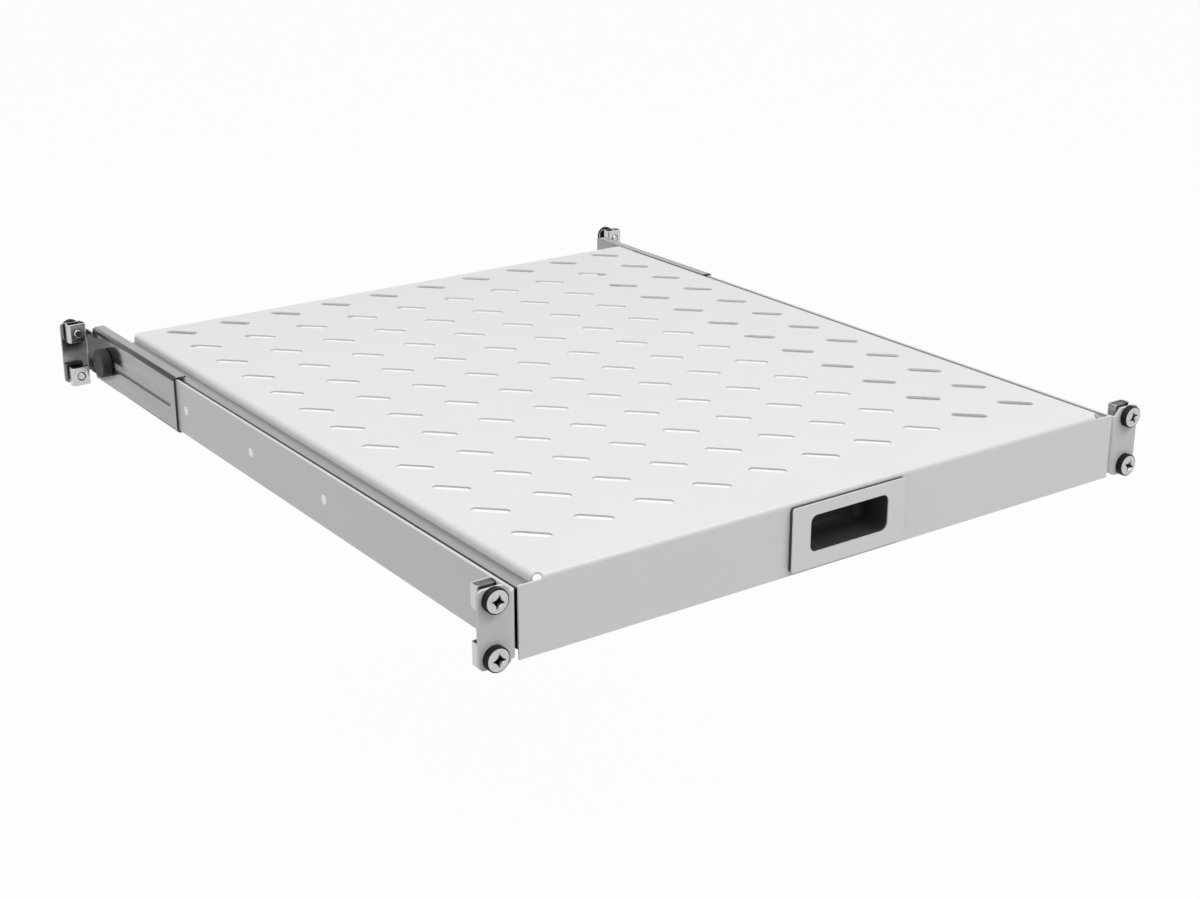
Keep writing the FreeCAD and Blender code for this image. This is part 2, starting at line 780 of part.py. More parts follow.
def knob_studs():
    """Headed studs in the rails that pass the brackets' slots and carry the knobs."""
    piece = new_body("knob_stud", keep=False)
    tip = KNOB_SEAT - "rail_inner" + "knob_bore_depth" - "knob_gap"
    pad(piece, "x", ZERO, tip, [ring("stud")])
    pad(piece, "x", -dim("stud_head_height"), ZERO, [ring("stud_head", sides=SHANK_FLATS)])
    spots = [(dim("rail_inner") * way, "knob_y", "slide_z", way) for way in SIDES.values()]
    group("knob_studs", piece, spots)


def hand_knob(side, way):
    """Round clamping knob with a blind bore for its stud."""
    body = new_body(f"hand_knob_{side}")
    pad(body, "x", ZERO, "knob_height", [ring("knob_radius", sides=KNOB_FLATS)])
    bevel(body, "x", "knob_height", "knob_radius", "knob_edge")
    cut(body, "x", ZERO, "knob_bore_depth", [stud_bore()])
    body.Placement = FreeCAD.Placement(FreeCAD.Vector(), half_turn(way))
    for name, value in (("x", KNOB_SEAT * way), ("y", dim("knob_y")), ("z", dim("slide_z"))):
        body.setExpression(f"Placement.Base.{name}", value.text)


def rack_screw(name, ear, flats, grip):
    """Raised countersunk screw along Y; its post face is at zero and its head at minus Y."""
    body = new_body(name, keep=False)
    crown = -dim(ear) - "head_rim" - "head_crown"
    taper = (dim("head") - "screw_neck") * flat_depth(flats)
    under_head = crown + "head_crown" + "head_edge" + taper
    step = -dim("screw_step")
    grip_end = dim("nut_gap") + step
    pad(body, "y", crown, under_head, [ring("head", sides=flats)])
    bevel(body, "y", crown, "head", "head_crown")
    bevel(body, "y", under_head, "head", taper)
    pad(body, "y", under_head, step, [ring("screw_neck", sides=flats)])
    pad(body, "y", step, grip_end, **grip)
    pad(body, "y", grip_end, "screw_end", [ring("screw_thread", sides=flats)])
    return body


def cup_washer(name, ear, flats):
    """Moulded cup washer under a screw head."""
    body = new_body(name, keep=False)
    seat = -dim(ear)
    front = seat - "washer_height"
    pad(body, "y", front, seat, [ring("washer", sides=flats)])
    cut(body, "y", front, seat, [ring("washer_bore", sides=flats)])
    bevel(body, "y", front, "washer_bore", "washer_cup")
    return body


def square_nut(name):
    """Square nut whose bore takes the screw; it rests on its cage's back."""
    body = new_body(name, keep=False)
    half = dim("nut_half")
    back = dim("nut_gap") + "cage_depth" - "cage_wall"
    pad(body, "y", "nut_front", back, [rectangle(-half, half, -half, half)])
    cut(body, "y", "nut_front", back, [ring("nut_bore", sides=HIDDEN_FLATS)])
    return body


def nut_cage(name):
    """Spring cage round the nut: a back with a window, and two walls with lips at the post."""
    body = new_body(name, keep=False)
    half = dim("cage_half")
    wall = dim("cage_wall")
    front = dim("nut_gap")
    back = front + "cage_depth"
    lip = half - "cage_lip"
    profile = [
        (-half, front),
        (-lip, front),
        (-lip, front + wall),
        (-half + wall, front + wall),
        (-half + wall, back - wall),
        (half - wall, back - wall),
        (half - wall, front + wall),
        (lip, front + wall),
        (lip, front),
        (half, front),
        (half, back),
        (-half, back),
    ]
    pad(body, "z", -half, half, [profile])
    cut(body, "y", back - wall, back, [ring("cage_window", sides=HIDDEN_FLATS)])
    return body


def fixings(label, ear, post_face, ends, facing, flats, grip):
    """Screws, cup washers, cage nuts and their cages; ends names each node's ears."""
    pieces = {
        "screws": rack_screw(f"{label}_screw", ear, flats, grip),
        "cup_washers": cup_washer(f"{label}_washer", ear, flats),
        "square_nuts": square_nut(f"{label}_nut"),
        "nut_cages": nut_cage(f"{label}_cage"),
    }
    for kind, piece in pieces.items():
        for ending, ways in ends.items():
            screws = [screw for way in ways for screw in ear_screws(way)]
            spots = [(x, post_face, z, facing) for x, z in screws]
            group(f"{label}_{kind}{ending}", piece, spots)


tray_panel()
pull_cup()
pull_face()
ball = steel_ball()
for side, way in SIDES.items():
    side_rail(side, way)
    slide_members(side, way)
    ball_cage(side, way, "outer", "outer_cage_web", "outer_cage_edge", "outer_row", OUTER_BALL)
    ball_cage(side, way, "inner", "inner_cage_web", "inner_cage_edge", "inner_row", INNER_BALL)
    rear_bracket(side, way)
    hand_knob(side, way)
rivets()
knob_studs()
front_grip = {"circles": [(ZERO, ZERO, "screw")]}
fixings("front", "rail_sheet", ZERO, {"": SIDES.values()}, 1, FLATS, front_grip)
rear_grip = {"outlines": [ring("screw", sides=HIDDEN_FLATS)]}
rear_ends = {f"_{side}": [way] for side, way in SIDES.items()}
fixings("rear", "bracket_sheet", "post_depth", rear_ends, -1, HIDDEN_FLATS, rear_grip)

doc.recompute()
for thing in doc.Objects:
    if "Invalid" in thing.State or "Error" in thing.State:
        raise ValueError(f"{thing.Label} did not recompute")
for node in nodes:
    if node.Shape.isNull() or not node.Shape.isValid():
        raise ValueError(f"{node.Label} has no valid shape")
os.makedirs("parts", exist_ok=True)
for node in nodes:
    node.Shape.exportStep(f"parts/{node.Label}.step")
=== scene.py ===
import json
import math

import bmesh
import bpy
import numpy as np
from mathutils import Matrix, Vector


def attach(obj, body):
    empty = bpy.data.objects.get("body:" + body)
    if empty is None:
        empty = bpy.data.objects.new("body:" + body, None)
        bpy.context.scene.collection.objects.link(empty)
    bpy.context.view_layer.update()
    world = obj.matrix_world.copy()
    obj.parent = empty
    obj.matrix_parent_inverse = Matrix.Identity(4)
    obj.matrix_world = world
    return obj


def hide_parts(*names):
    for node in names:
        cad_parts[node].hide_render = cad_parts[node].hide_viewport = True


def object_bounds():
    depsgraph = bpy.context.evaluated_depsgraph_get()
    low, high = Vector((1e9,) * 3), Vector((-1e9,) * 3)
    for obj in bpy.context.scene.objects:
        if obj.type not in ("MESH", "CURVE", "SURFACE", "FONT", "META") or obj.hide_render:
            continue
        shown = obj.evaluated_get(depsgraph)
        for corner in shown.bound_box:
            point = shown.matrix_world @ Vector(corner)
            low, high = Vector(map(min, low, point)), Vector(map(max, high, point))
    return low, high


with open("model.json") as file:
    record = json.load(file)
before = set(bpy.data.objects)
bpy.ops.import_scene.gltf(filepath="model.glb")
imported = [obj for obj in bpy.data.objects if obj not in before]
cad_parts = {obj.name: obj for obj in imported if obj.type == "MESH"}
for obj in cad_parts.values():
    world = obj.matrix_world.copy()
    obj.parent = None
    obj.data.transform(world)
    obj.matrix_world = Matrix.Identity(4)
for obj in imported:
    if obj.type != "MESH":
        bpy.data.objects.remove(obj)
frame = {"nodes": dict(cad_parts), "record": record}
cad_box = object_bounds()

# Sizes in millimetres, as in the part's source; meshes are written in metres.
MM = 0.001
SIDES = {"left": -1, "right": 1}
# Degrees: faces that meet at less look smooth, and edges sharper than this are broken
SMOOTH_ANGLE, BROKEN_ANGLE = 35, 50

# Tray
TRAY_TOP, TRAY_SHEET, TRAY_BEND = 22.1, 1.2, 3.2
TRAY_HALF, TRAY_REAR, FLANGE_FRONT, FLANGE_BOTTOM = 208.3, 501.0, 1.2, -15.6
LIP_HALF, LIP_FRONT, LIP_BOTTOM, REAR_LIP_BOTTOM = 217.8, -2.0, -21.8, 4.0
RELIEF, RELIEF_Y = 2.0, -1.0
SLOT_LENGTH, SLOT_WIDTH = 22.0, 6.2
COLUMNS, ROWS = 10, 12
SLOT_PITCH_X, SLOT_PITCH_Y, SLOT_FIRST_Y = 40.0, 39.9, 43.0
LIP_HOLE_HALF, LIP_HOLE_MIDDLE, LIP_HOLE_CORNER = (30.6, 12.8), 1.0, 6.3
SHEET_EDGE = 0.22

# Finger pull
PULL_BACK, PULL_MIDDLE, PULL_HALF, PULL_CORNER = -4.2, -0.1, (41.7, 19.0), 1.6
CUP_MIDDLE, CUP_HALF, CUP_CORNER = 1.0, (28.8, 11.0), 4.5
CUP_FLOOR, CUP_WALL, CUP_ROUND, CUP_LEAST_CORNER = 19.8, 1.6, 6.0, 0.3
HOOK_ROOT, HOOK_REACH, HOOK_RUN, HOOK_HALF = 0.8, 1.4, 6.0, 4.5

# Screws, cup washers and nut cages
HOLE_X, HOLE_Z, POST_DEPTH = 232.55, 15.875, 550.5
FRONT_EAR, REAR_EAR = 2.0, 1.5
HEAD, HEAD_RIM, HEAD_CROWN, HEAD_EDGE = 6.2, 4.14, 1.3, 0.15
RECESS_ARM, RECESS_POWER, RECESS_DEPTH, RECESS_WALL = 4.3, 0.72, 3.4, 0.5
NECK, NECK_END, GRIP, POST_GAP = 3.2, -0.05, 3.0, 2.65
THREAD, THREAD_DEPTH, THREAD_PITCH = 2.7, 0.42, 1.0
TIP, TIP_RADIUS, TIP_TAPER = 10.2, 2.0, 0.5
WASHER, WASHER_HEIGHT, WASHER_BORE, WASHER_MOUTH = 7.0, 3.9, 3.4, 6.17
CAGE_HALF, CAGE_FRONT, CAGE_BACK, CAGE_WALL = 6.5, 2.7, 9.5, 0.8
CAGE_LIP, CAGE_HOLE, CAGE_SHOULDER, CAGE_EDGE = 1.5, 3.1, 2.0, 0.15
# How far each screw's cross is turned, in radians, as screws end up when tightened
CROSS_TURNS = [0.25, 0.05, -0.3, 0.4]

# Rails, slides and knobs
SLIDE_Z, RAIL_INNER, FLANGE_IN, RAIL_SHEET = 0.0, 219.0, 207.1, 2.0
RIVET_PLACES = [197.4 + 94.8 * i for i in range(3)]
TRAY_RIVET_PLACES = [60.0, 250.0, 440.0]
RIVET_HEAD, RIVET_SHANK = 3.2, 1.4
SLIDE_ENDS, SLIDE_EDGE, SLIDE_HALF = (0.6, 495.6), 208.65, 17.0
SLIDE_SHEET, SLIDE_BEND = 1.0, 2.7
# Each ball row: how far inside the rail it runs, and its height above the slide's middle
BALL_ROWS = {"outer": (5.4, 14.85), "inner": (6.8, 11.55)}
BALL, BALL_SHARE = 1.5, 0.99
BALL_PLACES = [154.0 + 96.0 * i for i in range(3)]
GROOVE, GROOVE_HALF = 1.55, 1.04
KNOB_SEAT, KNOB_Y, KNOB, KNOB_HEIGHT = 223.15, 513.9, 10.0, 7.0
KNOB_BORE, KNOB_BORE_DEPTH, KNOB_DISH = 2.56, 5.5, 0.2
RIBS, RIB_DEPTH, RIB_BAND = 60, 0.13, 0.6


def linear(hex_colour):
    """An sRGB hex colour as linear red, green, blue and alpha."""
    parts = [int(hex_colour[i:i + 2], 16) / 255 for i in (1, 3, 5)]
    return [p / 12.92 if p <= 0.04045 else ((p + 0.055) / 1.055) ** 2.4 for p in parts] + [1.0]


def add(tree, kind, settings=(), links=()):
    """A new node of a kind; settings and links are by socket name or number, or property name."""
    node = tree.nodes.new(kind)
    for name, value in dict(settings).items():
        if isinstance(name, int) or name in node.inputs:
            node.inputs[name].default_value = value
        else:
            setattr(node, name, value)
    for name, source in dict(links).items():
        tree.links.new(source, node.inputs[name])
    return node


def grid_faces(rows, columns, close_rows=False, close_columns=False):
    """Four-sided faces of a grid of points, row by row; a closed way joins its end to its start."""
    i, j = np.meshgrid(
        np.arange(rows if close_rows else rows - 1),
        np.arange(columns if close_columns else columns - 1),
        indexing="ij",
    )
    below, beside = (i + 1) % rows, (j + 1) % columns
    corners = [i * columns + j, i * columns + beside, below * columns + beside, below * columns + j]
    return np.stack(corners, -1).reshape(-1, 4)


def surface(points, close_rows=False, close_columns=False):
    """A grid of points (rows, columns, 3) as its points and faces."""
    rows, columns = points.shape[:2]
    return points.reshape(-1, 3), grid_faces(rows, columns, close_rows, close_columns)


def joined(parts):
    """Several surfaces as one, with the later faces counted on from the earlier points."""
    counts = np.cumsum([0] + [len(points) for points, _ in parts])
    faces = [faces + start for (_, faces), start in zip(parts, counts)]
    return np.concatenate([points for points, _ in parts]), np.concatenate(faces)


def welded(points, faces):
    """Points closer than 0.1 micron made one; faces that lose a corner become triangles."""
    _, first, place = np.unique(
        np.round(points * 1e4).astype(np.int64), axis=0, return_index=True, return_inverse=True
    )
    faces = place.reshape(-1)[faces]
    kept = faces != np.roll(faces, 1, axis=1)
    triangles = faces[kept.sum(1) == 3]
    corners = triangles[kept[kept.sum(1) == 3]].reshape(-1, 3)
    return points[first], faces[kept.all(1)].tolist() + corners.tolist()


def put(name, parts, body, material, stands_for, edge=0.0):
    """A piece from surfaces in millimetres: welded, faces outwards, riding on its body."""
    points, faces = welded(*joined(parts))
    mesh = bpy.data.meshes.new(name)
    mesh.from_pydata(points * MM, [], faces)
    work = bmesh.new()
    work.from_mesh(mesh)
    bmesh.ops.recalc_face_normals(work, faces=work.faces)
    work.to_mesh(mesh)
    work.free()
    mesh.polygons.foreach_set("use_smooth", np.ones(len(mesh.polygons), bool))
    if not edge:
        mesh.set_sharp_from_angle(angle=math.radians(SMOOTH_ANGLE))
    mesh.materials.append(material)
    piece = bpy.data.objects.new(name, mesh)
    bpy.context.scene.collection.objects.link(piece)
    if edge:
        broken_edges(piece, edge)
    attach(piece, body)
    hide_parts(*stands_for)


def broken_edges(piece, width):
    """Sharp edges get a small round of this width, as a stamped and coated sheet has."""
    bevel = piece.modifiers.new("broken_edges", "BEVEL")
    bevel.width = width * MM
    bevel.segments = 2
    bevel.limit_method = "ANGLE"
    bevel.angle_limit = math.radians(BROKEN_ANGLE)
    bevel.harden_normals = True


def rounded(corners, steps=5):
    """A line through (x, y, radius) corners, each rounded by an arc of its radius."""
    spots = np.array([corner[:2] for corner in corners], float)
    line = []
    for i, (_, _, radius) in enumerate(corners):
        if not radius:
            line.append(spots[i:i + 1])
            continue
        coming = spots[i] - spots[i - 1]
        going = spots[(i + 1) % len(spots)] - spots[i]
        coming, going = coming / np.hypot(*coming), going / np.hypot(*going)
        turn = math.atan2(coming[0] * going[1] - coming[1] * going[0], coming @ going)
        start = spots[i] - coming * radius * math.tan(abs(turn) / 2)
        side = math.copysign(1, turn) * np.array([-coming[1], coming[0]])
        sweep = np.abs(turn) * np.linspace(0, 1, steps + 1)[:, None]
        line.append(start + radius * (np.sin(sweep) * coming + (1 - np.cos(sweep)) * side))
    return np.concatenate(line)


def lathe(profile, turns, closed=False):
    """A profile of (place along Y, radius) turned about Y: x = r cos a, z = r sin a."""
    angle = np.linspace(0, 2 * np.pi, turns, endpoint=False)
    along, radius = np.asarray(profile, float).T
    points = np.stack([
        np.outer(radius, np.cos(angle)),
        np.repeat(along[:, None], turns, axis=1),
        np.outer(radius, np.sin(angle)),
    ], -1)
    return surface(points, close_rows=closed, close_columns=True)


def moved(part, spot, way=1):
    """A surface turned half round Z where way is -1, then moved to a spot."""
    points, faces = part
    return points * [way, way, 1] + np.array(spot, float), faces


def sideways(part):
    """A surface about Y turned to lie about X."""
    points, faces = part
    return points[:, [1, 0, 2]] * [1, -1, 1], faces


# Materials


def new_material(name):
    """A new material with its node tree and its shader."""
    material = bpy.data.materials.new(name)
    material.use_nodes = True
    tree = material.node_tree
    return material, tree, tree.nodes["Principled BSDF"]


def coated_sheet(name, dark, light):
    """Light grey powder coat, sprayed and baked: satin, with the faint ripple of melted powder."""
    material, tree, shader = new_material(name)
    place = add(tree, "ShaderNodeTexCoord").outputs["Object"]
    # Waves of the coat's orange peel, and broad clouds in its tone
    ripple_mm, cloud_mm = 1.6, 60.0
    ripple = add(tree, "ShaderNodeTexNoise", {"Scale": 1 / (ripple_mm * MM), "Detail": 2.0},
                 {"Vector": place})
    cloud = add(tree, "ShaderNodeTexNoise", {"Scale": 1 / (cloud_mm * MM), "Detail": 2.0},
                {"Vector": place})
    tint = add(tree, "ShaderNodeMix", {"data_type": "RGBA", 6: linear(dark), 7: linear(light)},
               {0: cloud.outputs["Fac"]})
    gloss = add(tree, "ShaderNodeMapRange", {"To Min": 0.3, "To Max": 0.38},
                {"Value": ripple.outputs["Fac"]})
    bump = add(tree, "ShaderNodeBump", {"Strength": 0.12, "Distance": 0.03 * MM},
               {"Height": ripple.outputs["Fac"]})
    tree.links.new(tint.outputs[2], shader.inputs["Base Color"])
    tree.links.new(gloss.outputs["Result"], shader.inputs["Roughness"])
    tree.links.new(bump.outputs["Normal"], shader.inputs["Normal"])
    shader.inputs["IOR"].default_value = 1.5
    return material


def moulded_plastic(name, dark, light, grain_mm, rough, depth, shine):
    """Injection-moulded plastic with a spark-eroded grain in its skin; shine sets its reflection.

    The real grain is about a tenth of a millimetre and is drawn coarser, because it would not show."""
    material, tree, shader = new_material(name)
    place = add(tree, "ShaderNodeTexCoord").outputs["Object"]
    grain = add(tree, "ShaderNodeTexNoise", {"Scale": 1 / (grain_mm * MM), "Detail": 3.0},
                {"Vector": place})
    tint = add(tree, "ShaderNodeMix", {"data_type": "RGBA", 6: linear(dark), 7: linear(light)},
               {0: grain.outputs["Fac"]})
    gloss = add(tree, "ShaderNodeMapRange", {"To Min": rough - 0.06, "To Max": rough + 0.06},
                {"Value": grain.outputs["Fac"]})
    bump = add(tree, "ShaderNodeBump", {"Strength": 0.2, "Distance": depth * MM},
               {"Height": grain.outputs["Fac"]})
    tree.links.new(tint.outputs[2], shader.inputs["Base Color"])
    tree.links.new(gloss.outputs["Result"], shader.inputs["Roughness"])
    tree.links.new(bump.outputs["Normal"], shader.inputs["Normal"])
    shader.inputs["Specular IOR Level"].default_value = shine
    return material


def painted_fold_and_cut_shade(tree, cut_shade_until):
    """Where painted shade darkens a metal sheet: on its folds, whose normals lean between X and Z,
    standing in for a dark reflection and the shadow of the gap beside them, and on its cut ends, which
    face along Y. Cut ends beyond a place along Y get no painted shade."""
    place = add(tree, "ShaderNodeTexCoord")
    lean = add(tree, "ShaderNodeVectorMath", {"operation": "ABSOLUTE"}, {0: place.outputs["Normal"]})
    lean = add(tree, "ShaderNodeSeparateXYZ", {}, {0: lean.outputs["Vector"]})
    fold = add(tree, "ShaderNodeMath", {"operation": "MULTIPLY"},
               {0: lean.outputs["X"], 1: lean.outputs["Z"]})
    fold = add(tree, "ShaderNodeMapRange", {"From Min": 0.12, "From Max": 0.3},
               {"Value": fold.outputs[0]})
    cut = add(tree, "ShaderNodeMapRange", {"From Min": 0.8, "From Max": 0.95},
              {"Value": lean.outputs["Y"]})
    along = add(tree, "ShaderNodeSeparateXYZ", {}, {0: place.outputs["Object"]})
    near = add(tree, "ShaderNodeMath", {"operation": "LESS_THAN", 1: cut_shade_until * MM},
               {0: along.outputs["Y"]})
    cut = add(tree, "ShaderNodeMath", {"operation": "MULTIPLY"},
              {0: cut.outputs["Result"], 1: near.outputs[0]})
    both = add(tree, "ShaderNodeMath", {"operation": "MAXIMUM"},
               {0: fold.outputs["Result"], 1: cut.outputs[0]})
    return both.outputs[0]


def crevice_shade(tree, reach_mm):
    """Where little light gets in: recesses and gaps beside other pieces, within a reach; a mask for
    painted shade in the base colour.
    """
    open_share = add(tree, "ShaderNodeAmbientOcclusion", {"samples": 8, "Distance": reach_mm * MM})
    closed = add(tree, "ShaderNodeMapRange", {"From Min": 0.92, "From Max": 0.5},
                 {"Value": open_share.outputs["AO"]})
    return closed.outputs[0]


def bare_metal(name, dark, light, patch_mm, stretch, rough, depth, painted_shade=None, painted_shade_tone="#000000"):
    """Bare or plated metal: patches of two tones, drawn out along the way it was rolled. Where a mask,
    with its size, says so, a darker tone is mixed into the colour as painted shade."""
    material, tree, shader = new_material(name)
    place = add(tree, "ShaderNodeTexCoord").outputs["Object"]
    scaled = add(tree, "ShaderNodeMapping", {"Scale": stretch}, {"Vector": place})
    patch = add(tree, "ShaderNodeTexNoise", {"Scale": 1 / (patch_mm * MM), "Detail": 1.5},
                {"Vector": scaled.outputs["Vector"]})
    spread = add(tree, "ShaderNodeMapRange", {"From Min": 0.3, "From Max": 0.7},
                 {"Value": patch.outputs["Fac"]})
    tint = add(tree, "ShaderNodeMix", {"data_type": "RGBA", 6: linear(dark), 7: linear(light)},
               {0: spread.outputs["Result"]})
    # Painted shade: the mask darkens the base colour towards the shade tone
    if painted_shade:
        tint = add(tree, "ShaderNodeMix", {"data_type": "RGBA", 7: linear(painted_shade_tone)},
                   {0: painted_shade[0](tree, painted_shade[1]), 6: tint.outputs[2]})
    gloss = add(tree, "ShaderNodeMapRange", {"To Min": rough + 0.05, "To Max": rough - 0.05},
                {"Value": spread.outputs["Result"]})
    bump = add(tree, "ShaderNodeBump", {"Strength": 0.15, "Distance": depth * MM},
               {"Height": patch.outputs["Fac"]})
    tree.links.new(tint.outputs[2], shader.inputs["Base Color"])
    tree.links.new(gloss.outputs["Result"], shader.inputs["Roughness"])
    tree.links.new(bump.outputs["Normal"], shader.inputs["Normal"])
    shader.inputs["Metallic"].default_value = 1.0
    return material


ALONG_RAIL, EVEN = (1, 0.05, 1), (1, 1, 1)
FINISHES = {
    # Pale satin sheet with a soft sheen along the bends
    "grey_powder_coat": coated_sheet("powder_coat_satin_pale_grey", "#e0e0e0", "#e4e4e4"),
    # The same coat, a shade greyer, so that the rails stand off the tray
    "rail_powder_coat": coated_sheet("powder_coat_satin_grey", "#d0d0d0", "#d4d4d4"),
    # Matt charcoal knobs with a soft light on the face
    "black_plastic": moulded_plastic("abs_moulded_black", "#262627", "#303031", 0.6, 0.45, 0.03, 0.25),
    # The dark well of the finger pull, in which the floor fades into the back; its black is lighter than
    # the knobs' as painted light in the shaded well
    "black_cup": moulded_plastic("abs_moulded_black_lightened_well", "#3e3e3f", "#444445", 0.6, 0.5, 0.02, 0.3),
    # Nearly black rings round the bright screw heads
    "black_nylon": moulded_plastic("nylon_moulded_black", "#0f0f0f", "#161616", 0.6, 0.5, 0.02, 0.2),
    # A flat light plate, a touch brighter than the coat beside it
    "grey_plastic": moulded_plastic("abs_moulded_grey", "#e4e4e4", "#e8e8e8", 0.7, 0.42, 0.02, 0.4),
    # Mid grey slides with fine rolling lines, and painted shade on the fold against the rail and on the
    # cut ends, for the shadow of the gap
    "slide_steel": bare_metal("zinc_rolled_bright", "#a2a3a4", "#a9aaab", 2.0, ALONG_RAIL, 0.34, 0.002,
                              (painted_fold_and_cut_shade, 1000.0), "#303132"),
    # Duller grey strips between the slides' members
    "cage_steel": bare_metal("steel_pressed", "#8f9193", "#a2a4a6", 2.0, (1, 0.2, 1), 0.35, 0.01),
    # Bright points of light in the races
    "ball_steel": bare_metal("bearing_steel_polished", "#c2c4c7", "#cdcfd2", 1.0, EVEN, 0.12, 0.0),
    # Light dots on the rails, with painted shade in a dark line round each head
    "rivet_metal": bare_metal("aluminium_formed", "#dadadb", "#e0e0e1", 1.5, EVEN, 0.4, 0.004,
                              (crevice_shade, 1.5), "#5a5a5b"),
    # Bright screw heads with a dark cross, the recess and the rim at the washer darkened with painted
    # shade
    "bright_steel": bare_metal("nickel_bright", "#bcbdbe", "#c9cacb", 2.0, EVEN, 0.16, 0.0,
                               (crevice_shade, 3.0), "#424243"),
    # Bright cages without the painted shade of the recesses
    "spring_steel": bare_metal("nickel_spring_steel", "#c6c7c8", "#cbcccd", 2.0, EVEN, 0.22, 0.0),
    # Cool mid grey brackets with a painted dark reflection on the bend along the top and painted shade on
    # the cut ends in front
    "zinc_plate": bare_metal("zinc_plate_satin", "#969899", "#9b9d9e", 3.0, (1, 0.1, 1), 0.17, 0.001,
                             (painted_fold_and_cut_shade, 546.0), "#4e5052"),
    # Dark grey nuts inside the bright cages: their zinc is darkened as painted shade of the cage around
    # them
    "zinc_nut": bare_metal("zinc_plate_shaded_in_cage", "#6c6e70", "#767879", 3.0, EVEN, 0.35, 0.004),
}


# Tray: one folded sheet


def slot_edge():
    """Edge of a slot about its middle: two half circles and two straight sides, turned 45 degrees."""
    cap = np.radians(np.linspace(-90, 90, 11))
    radius, half = SLOT_WIDTH / 2, (SLOT_LENGTH - SLOT_WIDTH) / 2
    run = np.concatenate([half + radius * np.cos(cap), [0], -half - radius * np.cos(cap), [0]])
    rise = np.concatenate([radius * np.sin(cap), [radius], -radius * np.sin(cap), [-radius]])
    # Start in the middle of the first cap, which is turned to the tile's lower right corner
    run, rise = np.roll(run, -5), np.roll(rise, -5)
    return np.stack([run + rise, rise - run], -1) * math.sqrt(0.5)


def tile_border(left, right, low, high, across, upright):
    """Border points of a tile from its lower right corner round: equal steps along each side."""
    x = left + (right - left) * np.arange(across) / across
    y = low + (high - low) * np.arange(upright) / upright
    sides = [
        (right + 0 * y, y), (left + right - x, high + 0 * x),
        (left + 0 * y, low + high - y), (x, low + 0 * x),
    ]
    return np.concatenate([np.stack(side, -1) for side in sides])


def pierced(border, edge, outer, inner):
    """A tile of sheet with a hole: border, hole edge, its other edge and the border underneath."""
    rings = [(border, outer), (edge, outer), (edge, inner), (border, inner)]
    points = np.stack([np.column_stack([ring, np.full(len(ring), level)]) for ring, level in rings])
    return surface(points, close_columns=True)


TILE_STEPS = 6
SLOT_ROWS_Y = SLOT_FIRST_Y + SLOT_PITCH_Y * np.arange(ROWS)
TILE_EDGES_Y = np.append(SLOT_ROWS_Y - SLOT_PITCH_Y / 2, TRAY_REAR - TRAY_BEND)
TILE_EDGES_X = SLOT_PITCH_X * (np.arange(COLUMNS + 1) - COLUMNS / 2)
FLAT_HALF = TRAY_HALF - TRAY_BEND
FOLD_Z = TRAY_TOP - TRAY_BEND
LIP_BACK = LIP_FRONT + TRAY_SHEET


def finer(edges, steps):
    """Lines between each pair of edges, in equal steps, with the last edge."""
    parts = [np.linspace(a, b, steps, endpoint=False) for a, b in zip(edges[:-1], edges[1:])]
    return np.append(np.concatenate(parts), edges[-1])


LINES_X = finer(TILE_EDGES_X, TILE_STEPS)
LINES_Y = finer(TILE_EDGES_Y, TILE_STEPS)


def fold(centre, steps=8):
    """The outer and inner line of a bend about a centre: quarter arcs from the top sheet down."""
    angle = np.linspace(0, np.pi / 2, steps + 1)
    return [
        np.column_stack([centre + radius * np.sin(angle), FOLD_Z + radius * np.cos(angle)])
        for radius in (TRAY_BEND, TRAY_BEND - TRAY_SHEET)
    ]


def carried(line, ends, order):
    """A line of (a, b) carried along the third way to each of the ends' values."""
    points = np.empty((len(ends), len(line), 3))
    points[..., order[0]] = np.asarray(ends)[:, None]
    points[..., order[1]] = line[:, 0]
    points[..., order[2]] = line[:, 1]
    return surface(points)


def bridged(one, other):
    """A strip between two lines of points in space."""
    return surface(np.stack([one, other]))


def in_space(line, at, order):
    """A line of (a, b) as points in space at a place along the third way."""
    points = np.empty((len(line), 3))
    points[:, order[0]] = at
    points[:, order[1]] = line[:, 0]
    points[:, order[2]] = line[:, 1]
    return points


def slotted_top():
    """The flat top between the folds: a pierced tile about each slot."""
    edge = slot_edge()
    under = TRAY_TOP - TRAY_SHEET
    parts = []
    for left, right in zip(TILE_EDGES_X[:-1], TILE_EDGES_X[1:]):
        for middle, low, high in zip(SLOT_ROWS_Y, TILE_EDGES_Y[:-1], TILE_EDGES_Y[1:]):
            border = tile_border(left, right, low, high, TILE_STEPS, TILE_STEPS)
            parts.append(pierced(border, edge + [(left + right) / 2, middle], TRAY_TOP, under))
    return parts


def relief_edge(y):
    """Where the sheet ends in X beside the round corner relief, at each place along Y."""
    return FLAT_HALF - np.sqrt(np.clip(RELIEF ** 2 - (y - RELIEF_Y) ** 2, 0, None))


def front_fold():
    """The bend at the front, from the lip to the flat, whose ends follow the round corner reliefs."""
    angle = np.radians(np.append(np.linspace(0, 88, 23), 90.0))[::-1]
    parts = []
    rims = []
    for radius in (TRAY_BEND, TRAY_BEND - TRAY_SHEET):
        y = LIP_FRONT + TRAY_BEND - radius * np.sin(angle)
        z = FOLD_Z + radius * np.cos(angle)
        ends = relief_edge(y)
        ends[0] = FLAT_HALF
        x = np.concatenate([-ends[:, None], np.tile(LINES_X, (len(ends), 1)), ends[:, None]], axis=1)
        points = np.stack([x, y[:, None] + 0 * x, z[:, None] + 0 * x], -1)
        parts.append(surface(points))
        rims.append(points)
    for column in (0, -1):
        parts.append(bridged(rims[0][:, column], rims[1][:, column]))
    for level in (TRAY_TOP, TRAY_TOP - TRAY_SHEET):
        ahead = np.array([[FLANGE_FRONT, level], [TILE_EDGES_Y[0], level]])
        parts.append(carried(ahead, LINES_X, (0, 1, 2)))
    return parts


